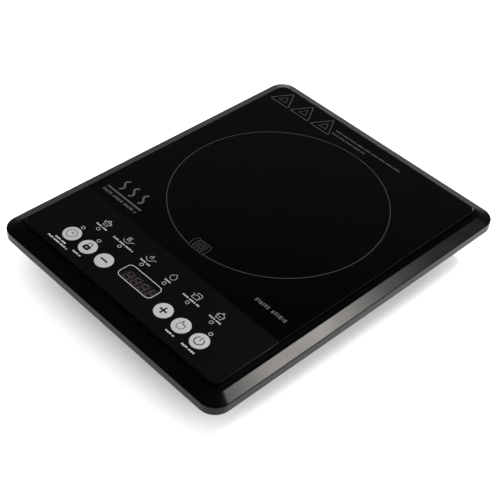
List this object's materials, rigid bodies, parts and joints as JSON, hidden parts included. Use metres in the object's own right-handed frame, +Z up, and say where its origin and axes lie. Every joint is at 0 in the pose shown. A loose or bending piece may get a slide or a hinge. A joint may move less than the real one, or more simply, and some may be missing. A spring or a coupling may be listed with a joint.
{
  "type": "induction cooktop",
  "caption": "Portable induction cooktop: black glass plate and matt key deck on a sloped frame, round silver push keys, display, coil, power board and fan in a vented tray.",
  "frame": {"origin": "on the floor, under the middle of the outline", "axes": "+X to the user's right, +Y to the rear, +Z up"},
  "size_m": [0.28, 0.352, 0.0587],
  "materials": {
    "frame_plastic": "smooth gloss black moulding",
    "tray_plastic": "fine matt moulding",
    "black_glass": "polished black glass ceramic",
    "panel_film": "matt printed film",
    "smoked_window": "smoked clear plastic",
    "silver_key": "silver lacquer over plastic",
    "silicone": "soft silicone",
    "foot_rubber": "matt rubber",
    "circuit_board": "green solder mask",
    "phenolic_board": "tan laminate",
    "black_component": "moulded package",
    "clear_plastic": "clear plastic peg",
    "plated_steel": "zinc plate",
    "copper": "enamelled copper",
    "aluminium": "extruded",
    "ferrite": "sintered ferrite",
    "mica": "pressed mica",
    "former_plastic": "heat-resistant moulding",
    "capacitor_case": "cast resin box",
    "capacitor_sleeve": "shrunk sleeve",
    "ribbon": "grey ribbon",
    "lead_insulation": "woven sleeve",
    "fan_plastic": "glass-filled plastic",
    "bronze": "sintered bronze",
    "terminal_plastic": "terminal housing",
    "panel_ink": "screen-printed ink on the film",
    "glass_enamel": "fired enamel line on the glass",
    "key_ink": "printed mark on a key"
  },
  "bodies": {
    "base": {"auxiliary_transformer": "black_component", "bottom_housing": "tray_plastic", "bridge_rectifier": "black_component", "buzzer": "black_component", "choke_core": "ferrite", "choke_winding": "copper", "coil_former": "former_plastic", "coil_leads": "lead_insulation", "coil_screws": "plated_steel", "coil_winding": "copper", "control_board": "circuit_board", "control_board_screws": "plated_steel", "control_overlay": "panel_film", "cord_gland": "foot_rubber", "display_lens": "smoked_window", "display_module": "black_component", "electrolytic_capacitors": "capacitor_sleeve", "fan_bearing": "bronze", "fan_frame": "fan_plastic", "fan_screws": "plated_steel", "fan_stator": "copper", "ferrite_bars": "ferrite", "glass_adhesive": "silicone", "glass_plate": "black_glass", "heat_sink": "aluminium", "housing_screws": "plated_steel", "igbt": "black_component", "indicator_leds": "clear_plastic", "light_pipes": "clear_plastic", "mains_filter_capacitor": "capacitor_case", "mains_fuse": "plated_steel", "mica_sheet": "mica", "microcontroller": "black_component", "power_board": "phenolic_board", "power_board_screws": "plated_steel", "resonant_capacitor": "capacitor_case", "ribbon_cable": "ribbon", "rubber_feet": "foot_rubber", "sensor_cap": "silicone", "smoothing_capacitor": "capacitor_case", "switch_bodies": "plated_steel", "temperature_sensor": "clear_plastic", "terminal_block": "terminal_plastic", "top_frame": "frame_plastic"},
    "fan": {"fan_rotor": "fan_plastic", "fan_magnet": "ferrite", "fan_shaft": "plated_steel"},
    "timer_key": {"key_timer": "silver_key", "plunger_timer": "black_component"},
    "lock_key": {"key_lock": "silver_key", "plunger_lock": "black_component"},
    "minus_key": {"key_minus": "silver_key", "plunger_minus": "black_component"},
    "plus_key": {"key_plus": "silver_key", "plunger_plus": "black_component"},
    "menu_key": {"key_menu": "silver_key", "plunger_menu": "black_component"},
    "power_key": {"key_power": "silver_key", "plunger_power": "black_component"}
  },
  "joints": [
    {"name": "press_timer", "type": "slide", "parent": "base", "child": "timer_key", "axis": [0, 0, -1], "range_m": [0, 0.0005], "stiffness_N_per_m": 2000, "springref_m": -0.0002},
    {"name": "press_lock", "type": "slide", "parent": "base", "child": "lock_key", "axis": [0, 0, -1], "range_m": [0, 0.0005], "stiffness_N_per_m": 2000, "springref_m": -0.0002},
    {"name": "press_minus", "type": "slide", "parent": "base", "child": "minus_key", "axis": [0, 0, -1], "range_m": [0, 0.0005], "stiffness_N_per_m": 2000, "springref_m": -0.0002},
    {"name": "press_plus", "type": "slide", "parent": "base", "child": "plus_key", "axis": [0, 0, -1], "range_m": [0, 0.0005], "stiffness_N_per_m": 2000, "springref_m": -0.0002},
    {"name": "press_menu", "type": "slide", "parent": "base", "child": "menu_key", "axis": [0, 0, -1], "range_m": [0, 0.0005], "stiffness_N_per_m": 2000, "springref_m": -0.0002},
    {"name": "press_power", "type": "slide", "parent": "base", "child": "power_key", "axis": [0, 0, -1], "range_m": [0, 0.0005], "stiffness_N_per_m": 2000, "springref_m": -0.0002},
    {"name": "fan_spin", "type": "hinge", "parent": "base", "child": "fan", "pos_m": [-0.052, 0.032, 0.0164], "axis": [0, 0, 1], "continuous": true}
  ]
}
